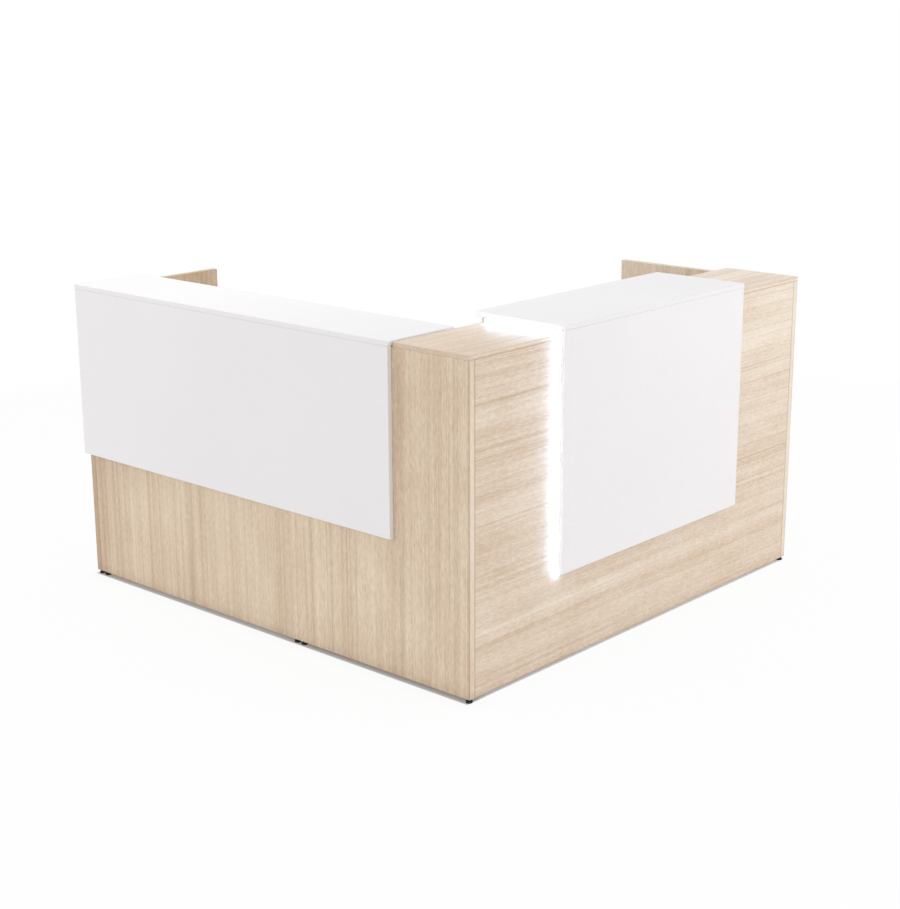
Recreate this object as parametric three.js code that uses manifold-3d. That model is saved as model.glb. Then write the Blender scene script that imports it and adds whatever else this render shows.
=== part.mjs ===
// Reception desk: a counter of two wings that meet in an outer corner, with a lit white block on the right wing.
// Millimetres, +Z up. Pieces are placed from the outer corner on the floor: the left wing runs along -X and
// shows its front to -Y, the right wing runs along +Y and shows its front to +X. The staff side is inside.

import * as THREE from "three";
import { mergeVertices } from "three/addons/utils/BufferGeometryUtils.js";
import Module from "manifold-3d";

// Wings and boards
const LEFT_WING_LENGTH = 1815;
const RIGHT_WING_LENGTH = 1785;
const COUNTER_HEIGHT = 1068;
const WORKTOP_HEIGHT = 735;
const LEFT_END_DEPTH = 605;
const RIGHT_END_DEPTH = 760;
const PANEL = 25;
const CAP_THICKNESS = 15;
const CAP_WIDTH = 300;
const WHITE_BOARD = 16;
const WORKTOP = 25;
const WORKTOP_SETBACK = 15;
const UPPER_GABLE_SETBACK = 15;
const LOWER_GABLE_SETBACK = 25;
const EDGE_EASE = 0.5;
const SEAM = 0.3;

// White block on the left wing
const LEFT_TOP_LIFT = 3;
const LEFT_TOP_DEPTH = 280;
const LEFT_FASCIA_BOTTOM = 458;
const LEFT_BLOCK_OVERHANG = 12.5;
const LEFT_BLOCK_CLEARANCE = 6;
const PACKER_INSET = 40;
const PACKER_MARGIN = 3;

// White block on the right wing
const RIGHT_STANDOFF = 16;
const RIGHT_BLOCK_START = 400;
const RIGHT_BLOCK_LENGTH = 980;
const RIGHT_TOP_OVERHANG = 28;
const RIGHT_FASCIA_BOTTOM = 314;
const BATTEN_WIDTH = 50;
const BATTEN_INSET = 60;
const BATTEN_MARGIN = 25;

// Cleats under the worktops and angle brackets in the corners
const CLEAT = 30;
const CLEAT_INSET = 60;
const BRACKET_LEG = 40;
const BRACKET_LENGTH = 60;
const BRACKET_THICKNESS = 3;
const BRACKET_HEIGHT = 120;

// Light line in the stand-off of the right block
const CHANNEL_DEPTH = 22;
const CHANNEL_WALL = 1.2;
const CHANNEL_BASE = 1.6;
const TAPE_WIDTH = 8;
const TAPE_THICKNESS = 1.2;
const DIFFUSER_THICKNESS = 2;
const DIFFUSER_RISE = 0.8;
const LIGHT_FRONT_DROP = 4;
const LIGHT_FRONT_CAP = 3;
const LIGHT_TOP_INSET = 2;
const LIGHT_TOP_CAP = 15;

// Driver, switch and leads, on the staff side of the right front panel
const SUPPLY_DROP = 50;
const DRIVER_SIZE = { depth: 32, length: 150, height: 42 };
const SWITCH_SIZE = { depth: 26, length: 44, height: 24 };
const SWITCH_OFFSET = 60;
const DRIVER_LEAD_LENGTH = 50;
const LEAD_DIAMETER = 5;
const LEAD_BEND = 12;
const LEAD_HOLE_DIAMETER = 8;
const GLAND_DIAMETER = 14;
const GLAND_LENGTH = 18;
const GLAND_BORE = 7;
const ROCKER_LENGTH = 19;
const ROCKER_WIDTH = 12;
const ROCKER_DEPTH = 4;
const ROCKER_RISE = 3;
const ROCKER_PIVOT_DEPTH = 2;
const ROCKER_TILT_DEG = 8;
const ROCKER_CLEARANCE = 1.2;
const ROCKER_POCKET_DEPTH = 9;

// Cable grommets in the worktops
const GROMMET_HOLE = 60;
const GROMMET_FLANGE = 6;
const GROMMET_FLANGE_THICKNESS = 2.5;
const GROMMET_SLEEVE = 20;
const GROMMET_WALL = 1.4;
const GROMMET_LEDGE = 2.2;
const GROMMET_CAP_THICKNESS = 4;
const GROMMET_SLOT_WIDTH = 16;
const GROMMET_SLOT_DEPTH = 14;
const GROMMET_SETBACK = 70;

// Levelling feet
const FOOT_GAP = 14;
const FOOT_DIAMETER = 22;
const FOOT_BASE_HEIGHT = 7;
const FOOT_COLLAR_DIAMETER = 15;
const FOOT_CLEARANCE = 1;
const FOOT_STUD_DIAMETER = 8;
const FOOT_STUD_LENGTH = 20;
const FOOT_HOLE_DEPTH = 24;
const FOOT_PAIR_SPACING = 32;
const FOOT_END_INSET = 40;
const FOOT_ROUNDING = 1;

// Facets of round pieces
const FOOT_SIDES = 20;
const GROMMET_SIDES = 32;
const HOLE_SIDES = 16;
const LEAD_SIDES = 8;
const LEAD_STEPS = 14;
const DOME_SEGMENTS = 8;
const ARC_HANDLE = 0.5523;
const MERGE_DISTANCE = 1e-4;

// Places that several pieces share
const LEFT_X = -LEFT_WING_LENGTH;
const RIGHT_Y = RIGHT_WING_LENGTH;
const JOINT_X = -(RIGHT_END_DEPTH - WORKTOP_SETBACK);
const INNER_LEFT_X = LEFT_X + PANEL + SEAM;
const INNER_RIGHT_Y = RIGHT_Y - PANEL - SEAM;
const INNER_FACE = PANEL + SEAM;
const PANEL_TOP = COUNTER_HEIGHT - CAP_THICKNESS - SEAM;
const WORKTOP_UNDER = WORKTOP_HEIGHT - WORKTOP;
const LEFT_TOP_UNDER = PANEL_TOP + LEFT_TOP_LIFT;
const LEFT_BLOCK_START = LEFT_X - LEFT_BLOCK_OVERHANG;
const LEFT_FASCIA_FRONT = -SEAM - WHITE_BOARD;
const LEFT_BLOCK_END = -CAP_WIDTH - LEFT_BLOCK_CLEARANCE;
const RIGHT_TOP_UNDER = COUNTER_HEIGHT + RIGHT_STANDOFF;
const RIGHT_BLOCK_END = RIGHT_BLOCK_START + RIGHT_BLOCK_LENGTH;
const RIGHT_GABLE_Y = RIGHT_BLOCK_START + RIGHT_BLOCK_LENGTH / 2;
const GABLE_BACK = LEFT_END_DEPTH - WORKTOP_SETBACK - LOWER_GABLE_SETBACK;
const UPPER_GABLE_BACK = LEFT_TOP_DEPTH - UPPER_GABLE_SETBACK;
const SUPPLY_Z = PANEL_TOP - SUPPLY_DROP;
const LEAD_X = -(INNER_FACE + LEAD_BEND);
const LEAD_Y = RIGHT_BLOCK_START + CHANNEL_DEPTH / 2;

const FINISHES = {
  wood: { color: "#dcc6a9", roughness: 0.5, metalness: 0 },
  rawWood: { color: "#c9ad86", roughness: 0.7, metalness: 0 },
  white: { color: "#ecebec", roughness: 0.4, metalness: 0 },
  blackPlastic: { color: "#161617", roughness: 0.5, metalness: 0 },
  greyPlastic: { color: "#5c5f63", roughness: 0.5, metalness: 0 },
  whitePlastic: { color: "#e6e6e4", roughness: 0.45, metalness: 0 },
  aluminium: { color: "#c8ccd0", roughness: 0.35, metalness: 1 },
  steel: { color: "#a3a7ab", roughness: 0.4, metalness: 1 },
  opal: { color: "#f4f8ff", roughness: 0.4, metalness: 0 },
};

const wasm = await Module();
wasm.setup();
const desk = new THREE.Group();

function finish(kind) {
  return new THREE.MeshStandardMaterial(FINISHES[kind]);
}

function addPiece(name, geometry, kind, position = [0, 0, 0], parent = desk) {
  const mesh = new THREE.Mesh(geometry, finish(kind));
  mesh.name = name;
  mesh.position.set(...position);
  parent.add(mesh);
  return mesh;
}

// Merges shared corners and drops triangles that have shrunk to a line, as at a lathe's axis
function toSolid(geometry) {
  const bare = geometry.clone();
  bare.deleteAttribute("normal");
  bare.deleteAttribute("uv");
  const merged = mergeVertices(bare, MERGE_DISTANCE);
  const index = merged.index.array;
  const triangles = [];
  for (let i = 0; i < index.length; i += 3) {
    const [a, b, c] = index.slice(i, i + 3);
    if (a !== b && b !== c && c !== a) triangles.push(a, b, c);
  }
  const vertProperties = new Float32Array(merged.attributes.position.array);
  const triVerts = new Uint32Array(triangles);
  return new wasm.Manifold(new wasm.Mesh({ numProp: 3, vertProperties, triVerts }));
}

function toGeometry(solid) {
  const mesh = solid.getMesh();
  const geometry = new THREE.BufferGeometry();
  geometry.setAttribute("position", new THREE.BufferAttribute(mesh.vertProperties, 3));
  geometry.setIndex(new THREE.BufferAttribute(mesh.triVerts, 1));
  geometry.computeVertexNormals();
  return geometry;
}

function cutAway(geometry, cutters) {
  const cut = (solid, cutter) => solid.subtract(toSolid(cutter));
  return toGeometry(cutters.reduce(cut, toSolid(geometry)));
}

// A board with its long edges eased, from its lowest corner at the origin; it is extruded along its thinnest side
function boardGeometry(size) {
  const thin = size.indexOf(Math.min(...size));
  const across = (thin + 1) % 3;
  const along = (thin + 2) % 3;
  const ease = Math.min(EDGE_EASE, size[thin] / 4);
  const outline = new THREE.Shape([
    new THREE.Vector2(0, 0),
    new THREE.Vector2(size[across], 0),
    new THREE.Vector2(size[across], size[along]),
    new THREE.Vector2(0, size[along]),
  ]);
  const geometry = new THREE.ExtrudeGeometry(outline, {
    depth: size[thin] - 2 * ease,
    bevelThickness: ease,
    bevelSize: ease,
    bevelOffset: -ease,
    bevelSegments: 1,
  });
  geometry.translate(0, 0, ease);
  const axes = [new THREE.Vector3(1, 0, 0), new THREE.Vector3(0, 1, 0), new THREE.Vector3(0, 0, 1)];
  return geometry.applyMatrix4(new THREE.Matrix4().makeBasis(axes[across], axes[along], axes[thin]));
}

// A board between two corners; the cutters are given in the desk's own coordinates
function addBoard(name, low, high, kind, cutters = []) {
  const size = low.map((value, axis) => high[axis] - value);
  const board = boardGeometry(size);
  const moved = cutters.map((cutter) => cutter.clone().translate(-low[0], -low[1], -low[2]));
  const geometry = moved.length > 0 ? cutAway(board, moved) : board;
  return addPiece(name, geometry, kind, low);
}

// A round cutter along one axis, from its start point
function roundCutter(diameter, length, sides, axis, start) {
  const geometry = new THREE.CylinderGeometry(diameter / 2, diameter / 2, length, sides);
  geometry.translate(0, length / 2, 0);
  if (axis === "x") geometry.rotateZ(-Math.PI / 2);
  if (axis === "z") geometry.rotateX(Math.PI / 2);
  return geometry.translate(...start);
}

function latheGeometry(points, sides) {
  const profile = points.map(([radius, height]) => new THREE.Vector2(radius, height));
  return toGeometry(toSolid(new THREE.LatheGeometry(profile, sides)));
}

// Levelling feet: a moulded base and collar on a stud that screws into the lower edge of a board
const FEET = {
  left_end_front: [LEFT_X + PANEL / 2, PANEL / 2],
  left_front_end: [LEFT_X + PANEL / 2 + FOOT_PAIR_SPACING, PANEL / 2],
  left_front_joint: [JOINT_X - FOOT_PAIR_SPACING / 2, PANEL / 2],
  corner_front_joint: [JOINT_X + FOOT_PAIR_SPACING / 2, PANEL / 2],
  corner_front: [-PANEL / 2, PANEL / 2],
  right_end_front: [-PANEL / 2, RIGHT_Y - PANEL / 2],
  left_end_back: [LEFT_X + PANEL / 2, LEFT_END_DEPTH - FOOT_END_INSET],
  gable_back: [JOINT_X, GABLE_BACK - FOOT_END_INSET],
  right_end_back: [-RIGHT_END_DEPTH + FOOT_END_INSET, RIGHT_Y - PANEL / 2],
};

function footHole(place) {
  const [x, y] = FEET[place];
  const diameter = FOOT_STUD_DIAMETER + 2 * SEAM;
  return roundCutter(diameter, FOOT_HOLE_DEPTH + FOOT_GAP, HOLE_SIDES, "z", [x, y, 0]);
}

function footGeometry() {
  const base = FOOT_DIAMETER / 2;
  const collar = FOOT_COLLAR_DIAMETER / 2;
  const stud = FOOT_STUD_DIAMETER / 2;
  const collarTop = FOOT_GAP - FOOT_CLEARANCE;
  const studTop = FOOT_GAP + FOOT_STUD_LENGTH;
  const profile = [
    [0, 0],
    [base - FOOT_ROUNDING, 0],
    [base, FOOT_ROUNDING],
    [base, FOOT_BASE_HEIGHT - FOOT_ROUNDING],
    [base - FOOT_ROUNDING, FOOT_BASE_HEIGHT],
    [collar, FOOT_BASE_HEIGHT],
    [collar, collarTop],
    [stud, collarTop],
    [stud, studTop],
    [0, studTop],
  ];
  return latheGeometry(profile, FOOT_SIDES).rotateX(Math.PI / 2);
}

function addFeet() {
  for (const [place, [x, y]] of Object.entries(FEET)) {
    addPiece(`foot_${place}`, footGeometry(), "blackPlastic", [x, y, 0]);
  }
}

// Panels that stand on the feet, with the cap board over the right wing
function addPanels() {
  const frontHigh = [JOINT_X - SEAM / 2, PANEL, PANEL_TOP];
  const cornerLow = [JOINT_X + SEAM / 2, 0, FOOT_GAP];
  const rightHigh = [0, INNER_RIGHT_Y, PANEL_TOP];
  const leadHole = roundCutter(
    LEAD_HOLE_DIAMETER, 3 * PANEL, HOLE_SIDES, "x", [-2 * PANEL, LEAD_Y, SUPPLY_Z]);
  addBoard("left_front_panel", [INNER_LEFT_X, 0, FOOT_GAP], frontHigh, "wood",
    [footHole("left_front_end"), footHole("left_front_joint")]);
  addBoard("corner_front_panel", cornerLow, [0, PANEL, PANEL_TOP], "wood",
    [footHole("corner_front_joint"), footHole("corner_front")]);
  addBoard("right_front_panel", [-PANEL, INNER_FACE, FOOT_GAP], rightHigh, "wood", [leadHole]);
  addBoard("left_end_panel", [LEFT_X, 0, FOOT_GAP], [LEFT_X + PANEL, LEFT_END_DEPTH, PANEL_TOP], "wood",
    [footHole("left_end_front"), footHole("left_end_back")]);
  addBoard("right_end_panel", [-RIGHT_END_DEPTH, RIGHT_Y - PANEL, FOOT_GAP], [0, RIGHT_Y, PANEL_TOP], "wood",
    [footHole("right_end_front"), footHole("right_end_back")]);
  addBoard("counter_cap", [-CAP_WIDTH, 0, COUNTER_HEIGHT - CAP_THICKNESS], [0, RIGHT_Y, COUNTER_HEIGHT], "wood");
}

// White block on the left wing: a fascia flat against the front panels, and a top on thin packers
function addLeftBlock() {
  const topZ = LEFT_TOP_UNDER + WHITE_BOARD;
  const packerLeft = LEFT_X + PACKER_INSET;
  const packerRight = LEFT_BLOCK_END - PACKER_INSET;
  const packerUnder = PANEL_TOP + SEAM;
  const packerTop = LEFT_TOP_UNDER - SEAM;
  addBoard("left_counter_top", [LEFT_BLOCK_START, LEFT_FASCIA_FRONT, LEFT_TOP_UNDER],
    [LEFT_BLOCK_END, LEFT_TOP_DEPTH, topZ], "white");
  addBoard("left_fascia", [LEFT_BLOCK_START, LEFT_FASCIA_FRONT, LEFT_FASCIA_BOTTOM],
    [LEFT_BLOCK_END, -SEAM, LEFT_TOP_UNDER - SEAM], "white");
  addBoard("left_top_packer_front", [packerLeft, PACKER_MARGIN, packerUnder],
    [packerRight, PANEL - PACKER_MARGIN, packerTop], "rawWood");
  addBoard("left_top_packer_end", [LEFT_X + PACKER_MARGIN, PACKER_INSET, packerUnder],
    [LEFT_X + PANEL - PACKER_MARGIN, UPPER_GABLE_BACK, packerTop], "rawWood");
}

// White block on the right wing: a top and a fascia on battens
function addRightBlock() {
  const fasciaFront = RIGHT_STANDOFF + WHITE_BOARD;
  const topBack = -CAP_WIDTH - RIGHT_TOP_OVERHANG;
  const battenStart = RIGHT_BLOCK_START + BATTEN_INSET;
  const battenEnd = RIGHT_BLOCK_END - BATTEN_INSET;
  addBoard("right_counter_top", [topBack, RIGHT_BLOCK_START, RIGHT_TOP_UNDER],
    [fasciaFront, RIGHT_BLOCK_END, RIGHT_TOP_UNDER + WHITE_BOARD], "white");
  addBoard("right_fascia", [RIGHT_STANDOFF, RIGHT_BLOCK_START, RIGHT_FASCIA_BOTTOM],
    [fasciaFront, RIGHT_BLOCK_END, RIGHT_TOP_UNDER - SEAM], "white");
  const battenHeights = {
    upper: PANEL_TOP - BATTEN_MARGIN - BATTEN_WIDTH,
    lower: RIGHT_FASCIA_BOTTOM + BATTEN_MARGIN,
  };
  for (const [level, z] of Object.entries(battenHeights)) {
    addBoard(`right_fascia_batten_${level}`, [SEAM, battenStart, z],
      [RIGHT_STANDOFF - SEAM, battenEnd, z + BATTEN_WIDTH], "rawWood");
  }
  const battenRows = {
    front: -BATTEN_MARGIN - BATTEN_WIDTH,
    back: -CAP_WIDTH + BATTEN_MARGIN,
  };
  for (const [row, x] of Object.entries(battenRows)) {
    addBoard(`right_top_batten_${row}`, [x, battenStart, COUNTER_HEIGHT + SEAM],
      [x + BATTEN_WIDTH, battenEnd, RIGHT_TOP_UNDER - SEAM], "rawWood");
  }
}

// Gables: one under the joint of the worktops, and three between the worktops and the counters
function addGables() {
  const half = PANEL / 2;
  const upperFoot = WORKTOP_HEIGHT + SEAM;
  addBoard("middle_gable", [JOINT_X - half, INNER_FACE, FOOT_GAP],
    [JOINT_X + half, GABLE_BACK, WORKTOP_UNDER - SEAM], "wood", [footHole("gable_back")]);
  addBoard("left_upper_gable", [JOINT_X - half, INNER_FACE, upperFoot],
    [JOINT_X + half, UPPER_GABLE_BACK, LEFT_TOP_UNDER - SEAM], "wood");
  addBoard("corner_upper_gable", [-CAP_WIDTH, INNER_FACE, upperFoot],
    [-CAP_WIDTH + PANEL, UPPER_GABLE_BACK, PANEL_TOP], "wood");
  addBoard("right_upper_gable", [-CAP_WIDTH + UPPER_GABLE_SETBACK, RIGHT_GABLE_Y - half, upperFoot],
    [-INNER_FACE, RIGHT_GABLE_Y + half, PANEL_TOP], "wood");
}

// Cable grommets, by the centre of each hole
const GROMMETS = {
  left: [(INNER_LEFT_X + JOINT_X) / 2, LEFT_TOP_DEPTH + GROMMET_SETBACK],
  right: [-CAP_WIDTH - GROMMET_SETBACK, (RIGHT_GABLE_Y + INNER_RIGHT_Y) / 2],
};

function grommetHole(side) {
  const [x, y] = GROMMETS[side];
  return roundCutter(GROMMET_HOLE, 3 * WORKTOP, GROMMET_SIDES, "z", [x, y, WORKTOP_UNDER - WORKTOP]);
}

function grommetSizes() {
  const sleeve = GROMMET_HOLE / 2 - SEAM;
  return {
    sleeve,
    flange: GROMMET_HOLE / 2 + GROMMET_FLANGE,
    recess: sleeve - GROMMET_WALL,
    passage: sleeve - GROMMET_WALL - GROMMET_LEDGE,
    top: SEAM + GROMMET_FLANGE_THICKNESS,
    ledge: SEAM + GROMMET_FLANGE_THICKNESS - GROMMET_CAP_THICKNESS - SEAM,
  };
}

function grommetRing() {
  const { sleeve, flange, recess, passage, top, ledge } = grommetSizes();
  const profile = [
    [passage, -GROMMET_SLEEVE],
    [sleeve, -GROMMET_SLEEVE],
    [sleeve, SEAM],
    [flange, SEAM],
    [flange, top],
    [recess, top],
    [recess, ledge],
    [passage, ledge],
    [passage, -GROMMET_SLEEVE],
  ];
  return latheGeometry(profile, GROMMET_SIDES).rotateX(Math.PI / 2);
}

// The cap is a disc with a slot for cables cut in from its rim
function grommetCap() {
  const { recess, ledge } = grommetSizes();
  const radius = recess - SEAM;
  const halfSlot = GROMMET_SLOT_WIDTH / 2;
  const slotAngle = Math.asin(halfSlot / radius);
  const slotEnd = radius * Math.cos(slotAngle) - GROMMET_SLOT_DEPTH;
  const outline = new THREE.Shape();
  outline.absarc(0, 0, radius, slotAngle, 2 * Math.PI - slotAngle, false);
  outline.lineTo(slotEnd, -halfSlot);
  outline.lineTo(slotEnd, halfSlot);
  outline.closePath();
  const geometry = new THREE.ExtrudeGeometry(outline, {
    depth: GROMMET_CAP_THICKNESS,
    bevelEnabled: false,
    curveSegments: GROMMET_SIDES,
  });
  return geometry.translate(0, 0, ledge + SEAM);
}

function addGrommets() {
  for (const [side, [x, y]] of Object.entries(GROMMETS)) {
    addPiece(`${side}_grommet_ring`, grommetRing(), "greyPlastic", [x, y, WORKTOP_HEIGHT]);
    addPiece(`${side}_grommet_cap`, grommetCap(), "greyPlastic", [x, y, WORKTOP_HEIGHT]);
  }
}

// Worktops meet over the middle gable, and rest on cleats along the panels
function addWorktops() {
  const cleatTop = WORKTOP_UNDER - SEAM;
  const cleatUnder = cleatTop - CLEAT;
  const leftBack = LEFT_END_DEPTH - WORKTOP_SETBACK;
  const cleatFace = INNER_FACE + CLEAT;
  const gableFace = JOINT_X - PANEL / 2;
  addBoard("left_worktop", [INNER_LEFT_X, INNER_FACE, WORKTOP_UNDER],
    [JOINT_X - SEAM / 2, leftBack, WORKTOP_HEIGHT], "wood", [grommetHole("left")]);
  addBoard("right_worktop", [JOINT_X + SEAM / 2, INNER_FACE, WORKTOP_UNDER],
    [-INNER_FACE, INNER_RIGHT_Y, WORKTOP_HEIGHT], "wood", [grommetHole("right")]);
  addBoard("left_front_cleat", [INNER_LEFT_X + CLEAT_INSET, INNER_FACE, cleatUnder],
    [gableFace - CLEAT_INSET, cleatFace, cleatTop], "rawWood");
  addBoard("left_end_cleat", [INNER_LEFT_X, cleatFace + CLEAT, cleatUnder],
    [INNER_LEFT_X + CLEAT, leftBack - CLEAT_INSET, cleatTop], "rawWood");
  addBoard("right_front_cleat", [-cleatFace, INNER_FACE + CLEAT_INSET, cleatUnder],
    [-INNER_FACE, INNER_RIGHT_Y - CLEAT_INSET, cleatTop], "rawWood");
  addBoard("right_end_cleat", [JOINT_X + CLEAT_INSET, INNER_RIGHT_Y - CLEAT, cleatUnder],
    [-cleatFace - CLEAT, INNER_RIGHT_Y, cleatTop], "rawWood");
  addBoard("left_top_cleat", [-CAP_WIDTH - SEAM - CLEAT, INNER_FACE, LEFT_TOP_UNDER - SEAM - CLEAT],
    [-CAP_WIDTH - SEAM, UPPER_GABLE_BACK, LEFT_TOP_UNDER - SEAM], "rawWood");
}

// An angle bracket in the inside corner of two panels; the signs say which way its legs run
function bracketGeometry(signX, signY) {
  const corners = [
    [0, 0],
    [BRACKET_LEG, 0],
    [BRACKET_LEG, BRACKET_THICKNESS],
    [BRACKET_THICKNESS, BRACKET_THICKNESS],
    [BRACKET_THICKNESS, BRACKET_LEG],
    [0, BRACKET_LEG],
  ];
  const outline = new THREE.Shape(corners.map(([x, y]) => new THREE.Vector2(signX * x, signY * y)));
  return new THREE.ExtrudeGeometry(outline, { depth: BRACKET_LENGTH, bevelEnabled: false });
}

function addBrackets() {
  const upperZ = WORKTOP_HEIGHT + CLEAT;
  addPiece("corner_bracket_lower", bracketGeometry(-1, 1), "steel", [-INNER_FACE, INNER_FACE, BRACKET_HEIGHT]);
  addPiece("corner_bracket_upper", bracketGeometry(-1, 1), "steel", [-INNER_FACE, INNER_FACE, upperZ]);
  addPiece("left_end_bracket", bracketGeometry(1, 1), "steel", [INNER_LEFT_X, INNER_FACE, BRACKET_HEIGHT]);
  addPiece("right_end_bracket", bracketGeometry(-1, -1), "steel", [-INNER_FACE, INNER_RIGHT_Y, BRACKET_HEIGHT]);
}

// The opal cover of a run: a flat back in the channel's mouth, and a slightly domed front that stands proud of it
function coverGeometry(width, length) {
  const outline = new THREE.Shape();
  outline.moveTo(width, DIFFUSER_THICKNESS);
  outline.lineTo(0, DIFFUSER_THICKNESS);
  outline.absellipse(width / 2, 0, width / 2, DIFFUSER_RISE, Math.PI, 2 * Math.PI, false);
  outline.closePath();
  return new THREE.ExtrudeGeometry(outline, { depth: length, bevelEnabled: false, curveSegments: DOME_SEGMENTS });
}

// One run of the light line, from the desk's upper edge at the local origin along local +Z.
// The channel is open to -Y; its width lies along local X and fills the stand-off.
function lightRun(place, length, capLength, capKind) {
  const run = new THREE.Group();
  const width = RIGHT_STANDOFF - 2 * SEAM;
  const openLength = length - capLength - SEAM;
  const floor = CHANNEL_DEPTH - CHANNEL_BASE;
  const section = [
    [0, 0],
    [CHANNEL_WALL, 0],
    [CHANNEL_WALL, floor],
    [width - CHANNEL_WALL, floor],
    [width - CHANNEL_WALL, 0],
    [width, 0],
    [width, CHANNEL_DEPTH],
    [0, CHANNEL_DEPTH],
  ];
  const outline = new THREE.Shape(section.map(([x, y]) => new THREE.Vector2(x, y)));
  const channel = new THREE.ExtrudeGeometry(outline, { depth: openLength, bevelEnabled: false });
  const diffuserX = CHANNEL_WALL + SEAM;
  const diffuser = coverGeometry(width - 2 * diffuserX, openLength);
  const tape = boardGeometry([TAPE_WIDTH, TAPE_THICKNESS, openLength]);
  const tapePlace = [(width - TAPE_WIDTH) / 2, floor - SEAM - TAPE_THICKNESS, 0];
  const cap = boardGeometry([width, CHANNEL_DEPTH, capLength]);
  addPiece(`light_channel_${place}`, channel, "aluminium", [0, 0, 0], run);
  addPiece(`light_tape_${place}`, tape, "whitePlastic", tapePlace, run);
  addPiece(`light_diffuser_${place}`, diffuser, "opal", [diffuserX, 0, 0], run);
  addPiece(`light_end_cap_${place}`, cap, capKind, [0, 0, length - capLength], run);
  return run;
}

// The front run hangs down behind the near end of the fascia; the top run goes back over the cap
function addLightLine() {
  const topZ = RIGHT_TOP_UNDER - SEAM;
  const frontLength = topZ - RIGHT_FASCIA_BOTTOM + LIGHT_FRONT_DROP;
  const front = lightRun("front", frontLength, LIGHT_FRONT_CAP, "opal");
  front.position.set(RIGHT_STANDOFF - SEAM, RIGHT_BLOCK_START, topZ);
  front.rotation.y = Math.PI;
  const top = lightRun("top", CAP_WIDTH - LIGHT_TOP_INSET, LIGHT_TOP_CAP, "whitePlastic");
  top.position.set(0, RIGHT_BLOCK_START, COUNTER_HEIGHT + SEAM);
  top.rotation.y = -Math.PI / 2;
  desk.add(front, top);
}

// The lead leaves the switch, bends and goes straight out through the panel to the light channel
function switchLeadGeometry(startY) {
  const bendY = LEAD_Y + LEAD_BEND;
  const innerX = LEAD_X + LEAD_BEND;
  const pull = LEAD_BEND * (1 - ARC_HANDLE);
  const point = (x, y) => new THREE.Vector3(x, y, SUPPLY_Z);
  const path = new THREE.CurvePath();
  path.add(new THREE.LineCurve3(point(LEAD_X, startY), point(LEAD_X, bendY)));
  path.add(new THREE.CubicBezierCurve3(
    point(LEAD_X, bendY), point(LEAD_X, LEAD_Y + pull), point(LEAD_X + LEAD_BEND - pull, LEAD_Y),
    point(innerX, LEAD_Y)));
  path.add(new THREE.LineCurve3(point(innerX, LEAD_Y), point(0, LEAD_Y)));
  const section = new THREE.Shape();
  section.absarc(0, 0, LEAD_DIAMETER / 2, 0, 2 * Math.PI, false);
  return new THREE.ExtrudeGeometry(section, {
    steps: LEAD_STEPS,
    curveSegments: LEAD_SIDES,
    extrudePath: path,
  });
}

// The rocker's profile, from its pivot: two slopes that meet in a shallow valley, over a rounded back
function rockerGeometry() {
  const half = ROCKER_LENGTH / 2;
  const corners = [
    [-ROCKER_RISE, -half],
    [-ROCKER_RISE / 2, 0],
    [-ROCKER_RISE, half],
    [ROCKER_DEPTH / 2, half],
    [ROCKER_DEPTH, half / 2],
    [ROCKER_DEPTH, -half / 2],
    [ROCKER_DEPTH / 2, -half],
  ];
  const outline = new THREE.Shape(corners.map(([x, y]) => new THREE.Vector2(x, y)));
  const geometry = new THREE.ExtrudeGeometry(outline, { depth: ROCKER_WIDTH, bevelEnabled: false });
  return geometry.translate(0, 0, -ROCKER_WIDTH / 2);
}

function addSupply() {
  const switchStart = RIGHT_BLOCK_START + SWITCH_OFFSET;
  const switchEnd = switchStart + SWITCH_SIZE.length;
  const switchFace = -INNER_FACE - SWITCH_SIZE.depth;
  const driverStart = switchEnd + DRIVER_LEAD_LENGTH + 2 * SEAM;
  const driverEnd = driverStart + DRIVER_SIZE.length;
  const pocketSize = [
    ROCKER_POCKET_DEPTH,
    ROCKER_LENGTH + 2 * ROCKER_CLEARANCE,
    ROCKER_WIDTH + 2 * SEAM,
  ];
  const pivot = [switchFace + ROCKER_PIVOT_DEPTH, (switchStart + switchEnd) / 2, SUPPLY_Z];
  const pocket = new THREE.BoxGeometry(2 * pocketSize[0], pocketSize[1], pocketSize[2]);
  pocket.translate(switchFace, pivot[1], SUPPLY_Z);
  addBoard("switch_housing", [switchFace, switchStart, SUPPLY_Z - SWITCH_SIZE.height / 2],
    [-INNER_FACE, switchEnd, SUPPLY_Z + SWITCH_SIZE.height / 2], "whitePlastic", [pocket]);
  const rocker = addPiece("switch_rocker", rockerGeometry(), "blackPlastic", pivot);
  rocker.rotation.z = THREE.MathUtils.degToRad(ROCKER_TILT_DEG);
  addBoard("light_driver", [-INNER_FACE - DRIVER_SIZE.depth, driverStart, SUPPLY_Z - DRIVER_SIZE.height / 2],
    [-INNER_FACE, driverEnd, SUPPLY_Z + DRIVER_SIZE.height / 2], "whitePlastic");
  const gland = latheGeometry([
    [GLAND_BORE / 2, 0],
    [GLAND_DIAMETER / 2, 0],
    [GLAND_DIAMETER / 2, GLAND_LENGTH / 2],
    [GLAND_BORE / 2 + CHANNEL_WALL, GLAND_LENGTH],
    [GLAND_BORE / 2, GLAND_LENGTH],
    [GLAND_BORE / 2, 0],
  ], HOLE_SIDES);
  addPiece("mains_gland", gland, "blackPlastic", [LEAD_X, driverEnd + SEAM, SUPPLY_Z]);
  const driverLead = new THREE.CylinderGeometry(LEAD_DIAMETER / 2, LEAD_DIAMETER / 2, DRIVER_LEAD_LENGTH, LEAD_SIDES);
  addPiece("driver_lead", driverLead, "whitePlastic", [LEAD_X, (switchEnd + driverStart) / 2, SUPPLY_Z]);
  addPiece("switch_lead", switchLeadGeometry(switchStart - SEAM), "whitePlastic");
}

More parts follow.
